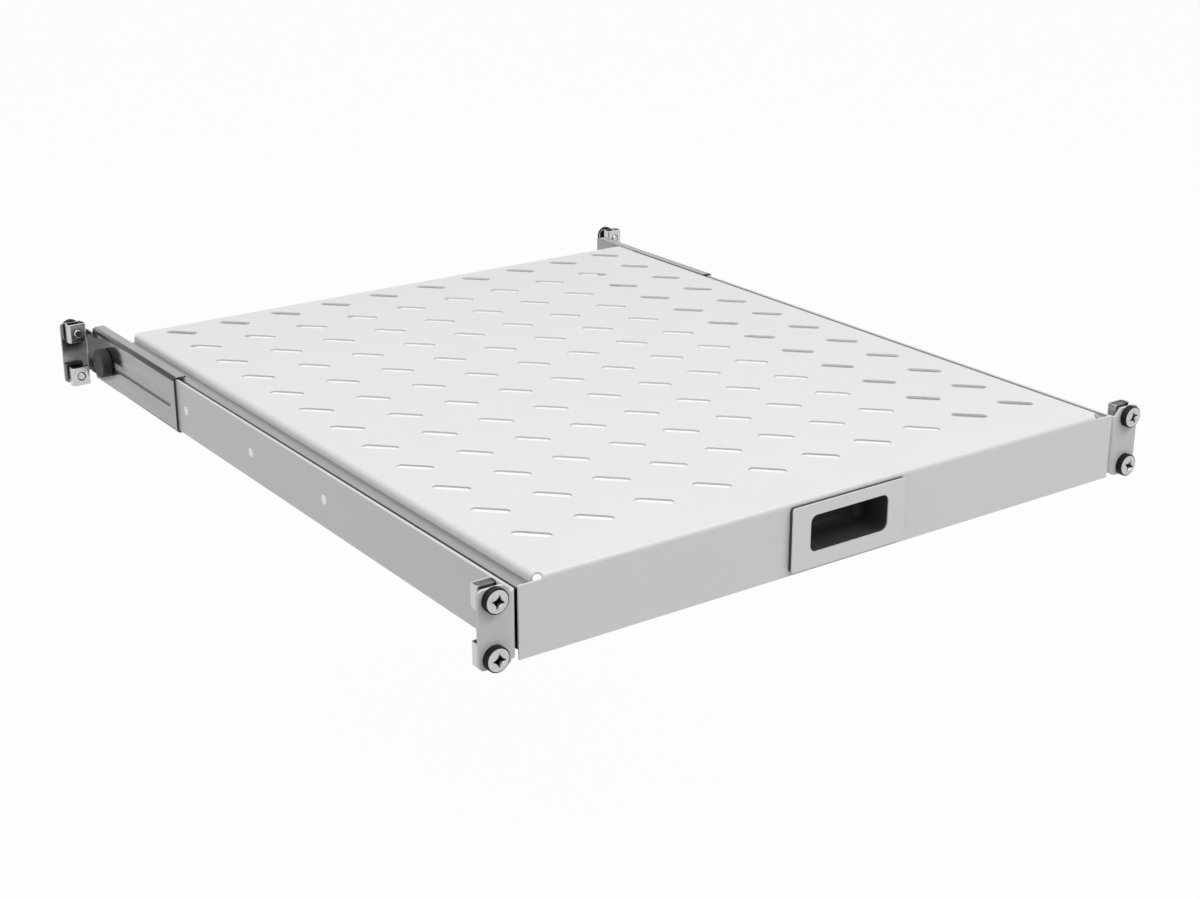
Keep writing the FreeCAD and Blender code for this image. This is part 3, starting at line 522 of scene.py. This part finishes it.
def rear_fold():
    """The bend and short lip at the rear."""
    outer, inner = fold(TRAY_REAR - TRAY_BEND)
    down = np.array([[TRAY_REAR, REAR_LIP_BOTTOM], [TRAY_REAR - TRAY_SHEET, REAR_LIP_BOTTOM]])
    profile = np.concatenate([outer, down, inner[::-1]])
    x = np.concatenate([[-FLAT_HALF], LINES_X, [FLAT_HALF]])
    half = len(profile) // 2
    parts = [carried(profile, x, (0, 1, 2))]
    for end in (x[0], x[-1]):
        points = in_space(profile, end, (0, 1, 2))
        parts.append(bridged(points[:half], points[half:][::-1]))
    return parts


def side_flange(way):
    """The bend and flange at one side, carried from the front relief to the rear fold."""
    outer, inner = [np.append(line, [[line[-1, 0], FLANGE_BOTTOM]], axis=0) for line in fold(FLAT_HALF)]
    tile_edge = TILE_EDGES_X[-1]
    profile = np.concatenate([
        [[tile_edge, TRAY_TOP]], outer, inner[::-1], [[tile_edge, TRAY_TOP - TRAY_SHEET]],
    ]) * [way, 1]
    y = np.concatenate([[FLANGE_FRONT], LINES_Y])
    parts = [carried(profile, y, (1, 0, 2))]
    for end in (y[0], y[-1]):
        rim = [in_space(line * [way, 1], end, (1, 0, 2)) for line in (outer, inner)]
        parts.append(bridged(*rim))
    return parts


def front_lip():
    """The wide lip: a flat plate with a rounded hole that the pull's cup passes, in a tile of its own."""
    (half_x, half_z), corner = LIP_HOLE_HALF, LIP_HOLE_CORNER
    tile = SLOT_PITCH_X
    across, upright, arc_steps = 12, 7, 6
    straight = 2 * (half_x - corner) * np.arange(1, across - arc_steps) / (across - arc_steps)
    arcs = [np.radians(np.linspace(start, start + 90, arc_steps + 1)) for start in (-90, 0, 90, 180)]
    centres = np.array([[1, -1], [1, 1], [-1, 1], [-1, -1]]) * [half_x - corner, half_z - corner]
    bends = [c + corner * np.column_stack([np.cos(a), np.sin(a)]) for c, a in zip(centres, arcs)]
    upper = np.column_stack([half_x - corner - straight, np.full(len(straight), half_z)])
    edge = np.concatenate([bends[0], bends[1], upper, bends[2], bends[3], -upper])
    edge = np.roll(edge, -arc_steps // 2, axis=0) + [0, LIP_HOLE_MIDDLE]
    border = tile_border(-tile, tile, LIP_BOTTOM, FOLD_Z, across, upright)
    parts = [pierced(border, edge, LIP_FRONT, LIP_BACK)]
    levels = LIP_BOTTOM + (FOLD_Z - LIP_BOTTOM) * np.arange(upright + 1) / upright
    outer_x = np.concatenate([[-LIP_HALF, -FLAT_HALF], LINES_X[LINES_X < -tile + 1e-6]])
    for x in (outer_x, -outer_x[::-1]):
        wide, high = np.meshgrid(x, levels, indexing="ij")
        parts += [surface(np.stack([wide, high, face + 0 * wide], -1)) for face in (LIP_FRONT, LIP_BACK)]
    parts = [(points[:, [0, 2, 1]], faces) for points, faces in parts]
    bottom_x = np.concatenate([[-LIP_HALF, -FLAT_HALF], LINES_X, [FLAT_HALF, LIP_HALF]])
    parts.append(carried(np.array([[LIP_FRONT, LIP_BOTTOM], [LIP_BACK, LIP_BOTTOM]]), bottom_x, (0, 1, 2)))
    for way in SIDES.values():
        side = np.column_stack([np.full(upright + 1, LIP_HALF * way), levels])
        parts.append(bridged(*(in_space(side, face, (1, 0, 2)) for face in (LIP_FRONT, LIP_BACK))))
        shoulder = np.array([[LIP_FRONT, FOLD_Z], [LIP_BACK, FOLD_Z]])
        parts.append(carried(shoulder, [FLAT_HALF * way, LIP_HALF * way], (0, 1, 2)))
    return parts


def tray():
    """The whole tray as one welded sheet."""
    parts = slotted_top() + front_fold() + rear_fold() + front_lip()
    for way in SIDES.values():
        parts += side_flange(way)
    put("tray_sheet", parts, "tray", FINISHES["grey_powder_coat"],
        ["tray_panel"], edge=SHEET_EDGE)


def section(y, half, corner, middle, steps=8):
    """A rounded rectangle in the plane across Y: a quarter arc about each corner's middle."""
    angle = np.radians(np.linspace(0, 90, steps + 1))
    arcs = [np.column_stack([np.cos(angle + k), np.sin(angle + k)]) for k in np.pi / 2 * np.arange(4)]
    ways = np.array([[1, 1], [-1, 1], [-1, -1], [1, -1]])
    line = np.concatenate([way * (np.array(half) - corner) + corner * arc for way, arc in zip(ways, arcs)])
    return np.column_stack([line[:, 0], np.full(len(line), y), line[:, 1] + middle])


def pocket(floor, half, corner, bend):
    """Sections of the cup's pocket from its floor's middle to its wall, along a quarter arc between."""
    sections = [section(floor, (0, 0), 0, CUP_MIDDLE)]
    for angle in np.radians(np.linspace(0, 90, 9)):
        inset = bend * (1 - math.sin(angle))
        sections.append(section(floor - bend * (1 - math.cos(angle)), np.array(half) - inset,
                                max(corner - inset, CUP_LEAST_CORNER), CUP_MIDDLE))
    return sections


def finger_cup():
    """Moulded cup: sections from the pocket's floor out round the rim and back behind, and two hooks."""
    outer_half, outer_corner = np.array(CUP_HALF) + CUP_WALL, CUP_CORNER + CUP_WALL
    sections = pocket(CUP_FLOOR, CUP_HALF, CUP_CORNER, CUP_ROUND) + [
        section(PULL_BACK, CUP_HALF, CUP_CORNER, CUP_MIDDLE),
        section(PULL_BACK, PULL_HALF, PULL_CORNER, PULL_MIDDLE),
        section(LIP_FRONT, PULL_HALF, PULL_CORNER, PULL_MIDDLE),
        section(LIP_FRONT, outer_half, outer_corner, CUP_MIDDLE),
    ] + pocket(CUP_FLOOR + CUP_WALL, outer_half, outer_corner, CUP_ROUND + CUP_WALL)[::-1]
    parts = [surface(np.stack(sections), close_columns=True)]
    side, hook_end = outer_half[0], LIP_BACK + HOOK_RUN
    hook = np.array([
        [side - HOOK_ROOT, LIP_BACK], [side + HOOK_REACH, LIP_BACK],
        [side, hook_end], [side - HOOK_ROOT, hook_end],
    ])
    ends = (CUP_MIDDLE - HOOK_HALF, CUP_MIDDLE + HOOK_HALF)
    for way in SIDES.values():
        line = hook * [way, 1]
        parts.append(carried(np.concatenate([line, line[:1]]), ends, (2, 0, 1)))
        corners = [in_space(line, end, (2, 0, 1)) for end in ends]
        parts += [bridged(c[:2], c[:1:-1]) for c in corners]
    put("finger_cup", parts, "tray", FINISHES["black_cup"], ["pull_cup"])


# Fastenings


def rack_screw(ear, cross_turn, turns=96):
    """Raised countersunk screw: a shallow dome with a cross recess, a cone, a neck and a thread.

    The dome falls with the square of the radius. The recess is a four-pointed star, deep where the
    sum of the two arms' powers is below one. The thread's radius follows the place along it
    less the share of a turn."""
    angle = np.linspace(0, 2 * np.pi, turns, endpoint=False)
    # Fine steps as far as the recess reaches, then coarser ones to the rim
    share = np.concatenate([np.linspace(0, 0.72, 37), np.linspace(0.76, 1, 9)])[:, None]
    rim = -(ear + HEAD_RIM)
    radius = HEAD * share + 0 * angle
    along = rim - HEAD_CROWN * (1 - share ** 2) + 0 * angle
    arms = [np.abs(radius * f(angle + cross_turn)) / RECESS_ARM for f in (np.cos, np.sin)]
    star = arms[0] ** RECESS_POWER + arms[1] ** RECESS_POWER
    along = along + RECESS_DEPTH * np.clip((1.0 - star) / RECESS_WALL, 0, 1)
    cone = rim + HEAD_EDGE
    outline = np.array([
        [cone, HEAD], [cone + (HEAD - NECK), NECK], [NECK_END, NECK], [NECK_END, GRIP], [POST_GAP, GRIP],
    ])
    steps = np.arange(POST_GAP, TIP - TIP_TAPER, THREAD_PITCH / 6)[:, None]
    wave = np.abs(((steps / THREAD_PITCH - angle / (2 * np.pi)) % 1) * 2 - 1)
    lower = np.repeat(outline[:, 1:], turns, 1)
    thread = THREAD - THREAD_DEPTH * wave
    radius = np.concatenate([radius, lower, thread, [0 * angle + TIP_RADIUS], [0 * angle]])
    lower = np.repeat(outline[:, :1], turns, 1)
    along = np.concatenate([along, lower, steps + 0 * angle, [0 * angle + TIP], [0 * angle + TIP]])
    points = np.stack([radius * np.cos(angle), along, radius * np.sin(angle)], -1)
    return surface(points, close_columns=True)


def cup_washer(ear):
    """Stepped cup washer: a flange and a collar with a groove between, and a cone for the head."""
    seat, front = -ear, -(ear + WASHER_HEIGHT)
    profile = rounded([
        (seat, WASHER_BORE, 0.1),
        (seat, WASHER - 0.1, 0.25),
        (seat - 1.3, WASHER, 0.2),
        (seat - 1.45, WASHER - 0.35, 0.08),
        (seat - 1.8, WASHER - 0.35, 0.08),
        (seat - 1.95, WASHER, 0.15),
        (front, WASHER - 0.05, 0.3),
        (front, WASHER_MOUTH, 0.1),
        (front + WASHER_MOUTH - WASHER_BORE, WASHER_BORE, 0.2),
    ])
    return lathe(profile, 72, closed=True)


def nut_cage():
    """Spring cage: a back with a round hole, two walls bent from it and lips bent in at the post."""
    arc_steps = 6
    angle = np.radians(np.linspace(-45, 315, 4 * arc_steps + 1))[:-1]
    ring = CAGE_HOLE * np.column_stack([np.cos(angle), np.sin(angle)])
    flat = CAGE_HALF - CAGE_SHOULDER
    border = tile_border(-flat, flat, -CAGE_HALF, CAGE_HALF, arc_steps, arc_steps)
    points, faces = pierced(border, ring, CAGE_BACK, CAGE_BACK - CAGE_WALL)
    parts = [(points[:, [0, 2, 1]], faces)]
    inside = CAGE_HALF - CAGE_WALL
    outer = [(flat, CAGE_BACK, 0), (CAGE_HALF, CAGE_BACK, 1.6), (CAGE_HALF, CAGE_FRONT, 1.1),
             (CAGE_HALF - CAGE_LIP, CAGE_FRONT, 0)]
    inner = [(flat, CAGE_BACK - CAGE_WALL, 0), (inside, CAGE_BACK - CAGE_WALL, 0.8),
             (inside, CAGE_FRONT + CAGE_WALL, 0.3), (CAGE_HALF - CAGE_LIP, CAGE_FRONT + CAGE_WALL, 0)]
    lines = [rounded(corners) for corners in (outer, inner)]
    levels = np.linspace(-CAGE_HALF, CAGE_HALF, arc_steps + 1)
    for level in (levels[0], levels[-1]):
        rim = np.array([[CAGE_BACK, level], [CAGE_BACK - CAGE_WALL, level]])
        parts.append(carried(rim, np.linspace(-flat, flat, arc_steps + 1), (0, 1, 2)))
    for way in SIDES.values():
        strap = np.concatenate([lines[0], lines[1][::-1]]) * [way, 1]
        parts.append(carried(strap, levels, (2, 0, 1)))
        for level in (levels[0], levels[-1]):
            parts.append(bridged(*(in_space(line * [way, 1], level, (2, 0, 1)) for line in lines)))
    return joined(parts)


def fixing_set(end, side, body, ear, spots, way):
    """Screws, cup washers and cages at some holes, facing forwards or, with way -1, backwards."""
    screws = [moved(rack_screw(ear, turn), spot, way) for spot, turn in zip(spots, CROSS_TURNS)]
    put(f"{end}_screw_set{side}", screws, body, FINISHES["bright_steel"],
        [f"{end}_screws{side}"])
    washers = [moved(cup_washer(ear), spot, way) for spot in spots]
    put(f"{end}_washer_set{side}", washers, body, FINISHES["black_nylon"],
        [f"{end}_cup_washers{side}"])
    cages = [moved(nut_cage(), spot, way) for spot in spots]
    put(f"{end}_cage_set{side}", cages, body, FINISHES["spring_steel"],
        [f"{end}_nut_cages{side}"], edge=CAGE_EDGE)


def fixings():
    """The fixings at the four front holes and, turned round, at each bracket's rear holes."""
    front = [(x * HOLE_X, 0, z * HOLE_Z) for x in (-1, 1) for z in (1, -1)]
    fixing_set("front", "", "rack_rails", FRONT_EAR, front, 1)
    for side, way in SIDES.items():
        rear = [(way * HOLE_X, POST_DEPTH, z * HOLE_Z) for z in (1, -1)]
        fixing_set("rear", f"_{side}", f"bracket_{side}", REAR_EAR, rear, -1)


def rivets(name, profile, turns, face, places, body, stands_for):
    """Rivets at a face on both sides: a profile turned about an axis along X, pointing outwards."""
    head = sideways(lathe(rounded(profile), turns))
    parts = [moved(head, (way * face, y, SLIDE_Z), way) for way in SIDES.values() for y in places]
    put(name, parts, body, FINISHES["rivet_metal"], [stands_for])


def rail_rivets():
    """Flat rivets: a low round head in the rail's seat and a shank through the slide."""
    profile = [
        (-1.0, 0, 0), (-1.0, RIVET_SHANK, 0.1), (0, RIVET_SHANK, 0), (0, RIVET_HEAD, 0),
        (RAIL_SHEET, RIVET_HEAD, 0), (RAIL_SHEET + 0.42, 2.2, 3.0), (RAIL_SHEET + 0.5, 0, 0),
    ]
    rivets("rail_rivet_set", profile, 40, RAIL_INNER, RIVET_PLACES, "rack_rails", "rail_rivets")


def tray_rivets():
    """Low domed rivets inside the tray's flanges."""
    profile = [
        (-1.0, 0, 0), (-0.9, 2.4, 0.5), (0, RIVET_HEAD, 0), (0, RIVET_SHANK, 0), (2.2, RIVET_SHANK, 0.1),
        (2.2, 0, 0),
    ]
    rivets("tray_rivet_set", profile, 32, FLANGE_IN, TRAY_RIVET_PLACES, "tray", "tray_rivets")


def clamping_knobs():
    """Round knobs: a profile turned about the stud, with a wave of fine ribs on the grip's radius."""
    profile = rounded([
        (KNOB_BORE_DEPTH, 0, 0), (KNOB_BORE_DEPTH, KNOB_BORE, 0.2), (0, KNOB_BORE, 0.2),
        (0, KNOB - 0.4, 0.3), (0.9, KNOB, 0.3), (5.8, KNOB, 0), (KNOB_HEIGHT, KNOB, 1.2),
        (KNOB_HEIGHT - KNOB_DISH, 6.0, 8.0), (KNOB_HEIGHT - KNOB_DISH, 0, 0),
    ], 7)
    points, faces = lathe(profile, 360)
    angle = np.arctan2(points[:, 2], points[:, 0])
    radius = np.hypot(points[:, 0], points[:, 2])
    on_grip = np.clip((radius - KNOB + RIB_BAND) / RIB_BAND, 0, 1)
    waved = 1 - on_grip * RIB_DEPTH * (1 + np.cos(RIBS * angle)) / 2 / KNOB
    knob = sideways((points * np.column_stack([waved, np.ones_like(waved), waved]), faces))
    for side, way in SIDES.items():
        put(f"knob_cap_{side}", [moved(knob, (way * KNOB_SEAT, KNOB_Y, SLIDE_Z), way)], f"knob_{side}",
            FINISHES["black_plastic"], [f"hand_knob_{side}"])


def outer_slides():
    """Outer members: a formed channel carried along Y, with a ball groove inside each flange.

    The groove is the part of a circle about the ball's middle that lies beyond the flange's face."""
    inset, ball_z = BALL_ROWS["outer"]
    groove = np.linspace(-GROOVE_HALF, GROOVE_HALF, 9)
    turn = np.radians(np.linspace(0, 90, 13))
    centre = [RAIL_INNER - SLIDE_BEND, SLIDE_HALF - SLIDE_BEND]
    bends = [centre + radius * np.column_stack([np.sin(turn), np.cos(turn)])
             for radius in (SLIDE_BEND, SLIDE_BEND - SLIDE_SHEET)]
    tops = [np.full(len(groove), SLIDE_HALF), ball_z + np.sqrt(GROOVE ** 2 - groove ** 2)]
    lines = []
    for bend, top, level in zip(bends, tops, (SLIDE_HALF, SLIDE_HALF - SLIDE_SHEET)):
        race = np.column_stack([RAIL_INNER - inset + groove, top])
        upper = np.concatenate([[[SLIDE_EDGE, level]], race, bend])
        lines.append(np.concatenate([upper, upper[::-1] * [1, -1]]))
    for side, way in SIDES.items():
        turned = [line * [way, 1] for line in lines]
        around = np.concatenate([turned[0], turned[1][::-1], turned[0][:1]])
        parts = [carried(around, SLIDE_ENDS, (1, 0, 2))]
        parts += [bridged(*(in_space(line, end, (1, 0, 2)) for line in turned)) for end in SLIDE_ENDS]
        put(f"slide_channel_{side}", parts, "rack_rails", FINISHES["slide_steel"],
            [f"slide_outer_{side}"])


def bearing_balls():
    """Spheres at the middles of the source's balls and a hair smaller: a half circle turned about Y."""
    half = np.linspace(0, np.pi, 13)
    radius = BALL_SHARE * BALL
    ball = lathe(np.column_stack([-radius * np.cos(half), radius * np.sin(half)]), 24)
    for side, way in SIDES.items():
        for ring, (inset, height) in BALL_ROWS.items():
            spots = [(way * (RAIL_INNER - inset), y, SLIDE_Z + height * level)
                     for level in (1, -1) for y in BALL_PLACES]
            put(f"{ring}_ball_set_{side}", [moved(ball, spot) for spot in spots], f"{ring}_cage_{side}",
                FINISHES["ball_steel"], [f"{ring}_balls_{side}"])


tray()
finger_cup()
fixings()
rail_rivets()
tray_rivets()
clamping_knobs()
outer_slides()
bearing_balls()

# The other nodes keep their solids, with the finish of their slot and broken edges
EDGES = {"side_rail": 0.8, "rear_bracket": 0.25, "pull_face": 0.18, "slide": 0.15, "cage": 0.1,
         "square_nuts": 0.3}
OWN_FINISH = {"square_nuts": "zinc_nut", "side_rail": "rail_powder_coat"}
slots = {row["node"]: row["material_slot"] for row in frame["record"]["subparts"]}
for name, node in frame["nodes"].items():
    node.data.materials.clear()
    own = next((finish for word, finish in OWN_FINISH.items() if word in name), slots[name])
    node.data.materials.append(FINISHES[own])
    width = next((size for word, size in EDGES.items() if word in name), 0)
    if width and not node.hide_render:
        weld = node.modifiers.new("weld", "WELD")
        weld.merge_threshold = 0.001 * MM
        broken_edges(node, width)


# Studio: white floor and backdrop, soft lamps, camera


def seen_directly(tree):
    """One for what the camera, a reflection or a clear piece sees, nought for scattered light."""
    path = add(tree, "ShaderNodeLightPath")
    seen = add(tree, "ShaderNodeMath", {"operation": "MAXIMUM"},
               {0: path.outputs["Is Camera Ray"], 1: path.outputs["Is Glossy Ray"]})
    seen = add(tree, "ShaderNodeMath", {"operation": "MAXIMUM"},
               {0: seen.outputs[0], 1: path.outputs["Is Transmission Ray"]})
    return seen.outputs[0]


def stage_floor(level):
    """A wide pale floor; what the camera or a reflection sees of it is nearly white."""
    material, tree, shader = new_material("studio_floor_paper")
    shader.inputs["Base Color"].default_value = linear("#dadada")
    shader.inputs["Roughness"].default_value = 0.9
    share = add(tree, "ShaderNodeMath", {"operation": "MULTIPLY", 1: 0.97}, {0: seen_directly(tree)})
    glow = add(tree, "ShaderNodeEmission", {"Color": (1, 1, 1, 1), "Strength": 1.0})
    mix = add(tree, "ShaderNodeMixShader", {},
              {0: share.outputs[0], 1: shader.outputs[0], 2: glow.outputs[0]})
    tree.links.new(mix.outputs[0], tree.nodes["Material Output"].inputs["Surface"])
    mesh = bpy.data.meshes.new("floor")
    half = 8.0
    corners = [(-half, -half, level), (half, -half, level), (half, half, level), (-half, half, level)]
    mesh.from_pydata(corners, [], [(0, 1, 2, 3)])
    mesh.materials.append(material)
    floor = bpy.data.objects.new("floor", mesh)
    bpy.context.scene.collection.objects.link(floor)


def studio_world(level):
    """Even white light from all round; the camera and reflections see plain white."""
    world = bpy.data.worlds.new("studio")
    bpy.context.scene.world = world
    world.use_nodes = True
    tree = world.node_tree
    strength = add(tree, "ShaderNodeMapRange", {"To Min": level, "To Max": 1.0},
                   {"Value": seen_directly(tree)})
    background = tree.nodes["Background"]
    background.inputs["Color"].default_value = (1, 1, 1, 1)
    tree.links.new(strength.outputs["Result"], background.inputs["Strength"])


def lamp(name, place, target, size, power):
    """A square soft lamp that faces a target."""
    light = bpy.data.lights.new(name, "AREA")
    light.size = size
    light.energy = power
    stand = bpy.data.objects.new(name, light)
    stand.location = place
    stand.rotation_euler = (Vector(target) - Vector(place)).to_track_quat("-Z", "Y").to_euler()
    bpy.context.scene.collection.objects.link(stand)


def photo_camera():
    """Camera at the photograph's angle: 58.4 mm lens on a 36 mm wide image."""
    lens = bpy.data.cameras.new("camera")
    lens.sensor_width = 36.0
    lens.lens = 58.41
    lens.clip_start, lens.clip_end = 0.05, 50.0
    camera = bpy.data.objects.new("camera", lens)
    azimuth, elevation = math.radians(-35.40), math.radians(20.48)
    back = Vector((math.sin(azimuth) * math.cos(elevation), -math.cos(azimuth) * math.cos(elevation),
                   math.sin(elevation)))
    camera.location = (-0.6923, -0.7393, 0.4177)
    camera.rotation_euler = (-back).to_track_quat("-Z", "Y").to_euler()
    bpy.context.scene.collection.objects.link(camera)
    bpy.context.scene.camera = camera


FLOOR_DROP = 0.25
stage_floor(cad_box[0].z - FLOOR_DROP)
studio_world(level=0.3)
lamp("top_lamp", place=(-0.55, 0.2, 1.7), target=(0, 0.25, 0), size=1.6, power=16)
lamp("front_lamp", place=(0.2, -1.35, 1.55), target=(0, 0.1, 0), size=1.0, power=10)
lamp("right_lamp", place=(1.0, -0.75, 1.5), target=(0, 0.0, 0), size=0.8, power=8.3)
lamp("left_lamp", place=(-1.9, 0.3, 1.1), target=(-0.1, 0.25, 0), size=1.0, power=3.5)
photo_camera()
bpy.context.scene.view_settings.view_transform = "Standard"
